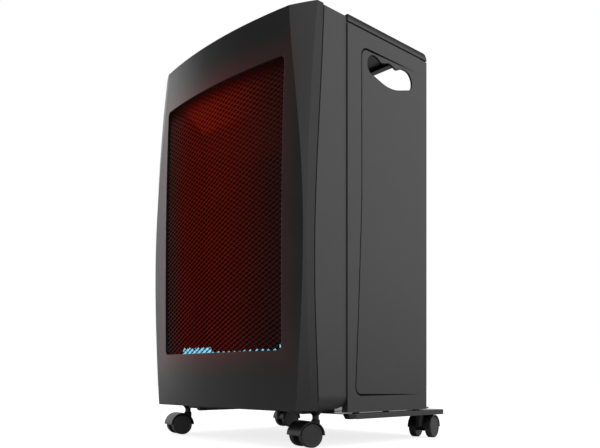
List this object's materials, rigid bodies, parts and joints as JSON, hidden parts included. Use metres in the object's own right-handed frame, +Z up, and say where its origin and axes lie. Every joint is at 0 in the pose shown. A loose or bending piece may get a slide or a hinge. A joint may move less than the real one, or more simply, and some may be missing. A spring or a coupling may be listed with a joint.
{
  "type": "portable gas cabinet heater",
  "caption": "Portable gas cabinet heater on swivelling casters: curved front with mesh grille and glowing chamber, rear sleeve with handle holes over an open bottle bay and tray.",
  "frame": {"origin": "On the floor, under the middle of the footprint", "axes": "+X to the right as seen from the front, +Y to the back, +Z up"},
  "size_m": [0.458, 0.3945, 0.735],
  "materials": {
    "fascia": "satin",
    "cabinet_paint": "satin",
    "grille_paint": "matt",
    "chamber_steel": "heat-dulled",
    "burner_steel": "brushed",
    "brass": "turned",
    "copper_pipe": "drawn",
    "black_steel": "blackened",
    "zinc_steel": "zinc plated",
    "ceramic": "glazed",
    "lead_cover": "matt",
    "black_plastic": "matt",
    "wheel_plastic": "satin"
  },
  "bodies": {
    "cabinet": {"fascia": "fascia", "front_housing": "cabinet_paint", "right_side_panel": "cabinet_paint", "left_side_panel": "cabinet_paint", "top_cover": "cabinet_paint", "bottle_tray": "cabinet_paint", "control_panel": "cabinet_paint", "rear_top_rail": "cabinet_paint", "rear_cross_bar": "cabinet_paint", "tray_brackets": "cabinet_paint", "tray_spacers": "cabinet_paint", "grille": "grille_paint", "grille_frame": "grille_paint", "bulkhead": "chamber_steel", "base_plate": "chamber_steel", "chamber_back": "chamber_steel", "chamber_left_wall": "chamber_steel", "chamber_right_wall": "chamber_steel", "chamber_ceiling": "chamber_steel", "chamber_floor": "chamber_steel", "burner_saddles": "chamber_steel", "valve_bracket": "chamber_steel", "pilot_bracket": "chamber_steel", "burner_bar": "burner_steel", "gas_injector": "brass", "pilot_burner": "brass", "gas_valve": "brass", "hose_nozzle": "brass", "pilot_pipe": "copper_pipe", "main_gas_pipe": "copper_pipe", "thermocouple": "copper_pipe", "front_caster_stems": "black_steel", "rear_caster_stems": "black_steel", "caster_nuts": "zinc_steel", "sheet_screws": "zinc_steel", "spark_electrode": "ceramic", "spark_lead": "lead_cover", "piezo_igniter": "black_plastic", "tray_end_caps": "black_plastic"},
    "valve_plug": {"valve_plug": "brass"},
    "knob": {"valve_spindle": "zinc_steel", "control_knob": "black_plastic"},
    "button": {"igniter_button": "black_plastic"},
    "front_right_caster": {"front_right_hood": "black_plastic", "front_right_axle": "zinc_steel"},
    "front_right_wheel_a": {"front_right_wheel_a": "wheel_plastic"},
    "front_right_wheel_b": {"front_right_wheel_b": "wheel_plastic"},
    "front_left_caster": {"front_left_hood": "black_plastic", "front_left_axle": "zinc_steel"},
    "front_left_wheel_a": {"front_left_wheel_a": "wheel_plastic"},
    "front_left_wheel_b": {"front_left_wheel_b": "wheel_plastic"},
    "rear_right_caster": {"rear_right_hood": "black_plastic", "rear_right_axle": "zinc_steel"},
    "rear_right_wheel_a": {"rear_right_wheel_a": "wheel_plastic"},
    "rear_right_wheel_b": {"rear_right_wheel_b": "wheel_plastic"},
    "rear_left_caster": {"rear_left_hood": "black_plastic", "rear_left_axle": "zinc_steel"},
    "rear_left_wheel_a": {"rear_left_wheel_a": "wheel_plastic"},
    "rear_left_wheel_b": {"rear_left_wheel_b": "wheel_plastic"}
  },
  "joints": [
    {"name": "valve_turn", "type": "hinge", "parent": "cabinet", "child": "valve_plug", "pos_m": [0.12, -0.11168, 0.7], "axis": [0, 0, 1], "range_deg": [-180, 0]},
    {"name": "knob_press", "type": "slide", "parent": "valve_plug", "child": "knob", "axis": [0, 0, -1], "range_m": [0, 0.004], "stiffness_N_per_m": 600, "springref_m": -0.003},
    {"name": "igniter_press", "type": "slide", "parent": "cabinet", "child": "button", "axis": [0, 0, -1], "range_m": [0, 0.005], "stiffness_N_per_m": 500, "springref_m": -0.003},
    {"name": "front_right_swivel", "type": "hinge", "parent": "cabinet", "child": "front_right_caster", "pos_m": [0.1905, -0.12628, 0.044], "axis": [0, 0, 1], "continuous": true},
    {"name": "front_right_wheel_a_roll", "type": "hinge", "parent": "front_right_caster", "child": "front_right_wheel_a", "pos_m": [0.18558, -0.14463, 0.02], "axis": [0.9659, -0.2588, 0], "continuous": true},
    {"name": "front_right_wheel_b_roll", "type": "hinge", "parent": "front_right_caster", "child": "front_right_wheel_b", "pos_m": [0.18558, -0.14463, 0.02], "axis": [0.9659, -0.2588, 0], "continuous": true},
    {"name": "front_left_swivel", "type": "hinge", "parent": "cabinet", "child": "front_left_caster", "pos_m": [-0.1905, -0.12628, 0.044], "axis": [0, 0, 1], "continuous": true},
    {"name": "front_left_wheel_a_roll", "type": "hinge", "parent": "front_left_caster", "child": "front_left_wheel_a", "pos_m": [-0.19542, -0.14463, 0.02], "axis": [0.9659, -0.2588, 0], "continuous": true},
    {"name": "front_left_wheel_b_roll", "type": "hinge", "parent": "front_left_caster", "child": "front_left_wheel_b", "pos_m": [-0.19542, -0.14463, 0.02], "axis": [0.9659, -0.2588, 0], "continuous": true},
    {"name": "rear_right_swivel", "type": "hinge", "parent": "cabinet", "child": "rear_right_caster", "pos_m": [0.205, 0.14332, 0.044], "axis": [0, 0, 1], "continuous": true},
    {"name": "rear_right_wheel_a_roll", "type": "hinge", "parent": "rear_right_caster", "child": "rear_right_wheel_a", "pos_m": [0.20105, 0.1619, 0.02], "axis": [-0.9781, -0.2079, 0], "continuous": true},
    {"name": "rear_right_wheel_b_roll", "type": "hinge", "parent": "rear_right_caster", "child": "rear_right_wheel_b", "pos_m": [0.20105, 0.1619, 0.02], "axis": [-0.9781, -0.2079, 0], "continuous": true},
    {"name": "rear_left_swivel", "type": "hinge", "parent": "cabinet", "child": "rear_left_caster", "pos_m": [-0.205, 0.14332, 0.044], "axis": [0, 0, 1], "continuous": true},
    {"name": "rear_left_wheel_a_roll", "type": "hinge", "parent": "rear_left_caster", "child": "rear_left_wheel_a", "pos_m": [-0.20105, 0.1619, 0.02], "axis": [-0.9781, 0.2079, 0], "continuous": true},
    {"name": "rear_left_wheel_b_roll", "type": "hinge", "parent": "rear_left_caster", "child": "rear_left_wheel_b", "pos_m": [-0.20105, 0.1619, 0.02], "axis": [-0.9781, 0.2079, 0], "continuous": true}
  ]
}
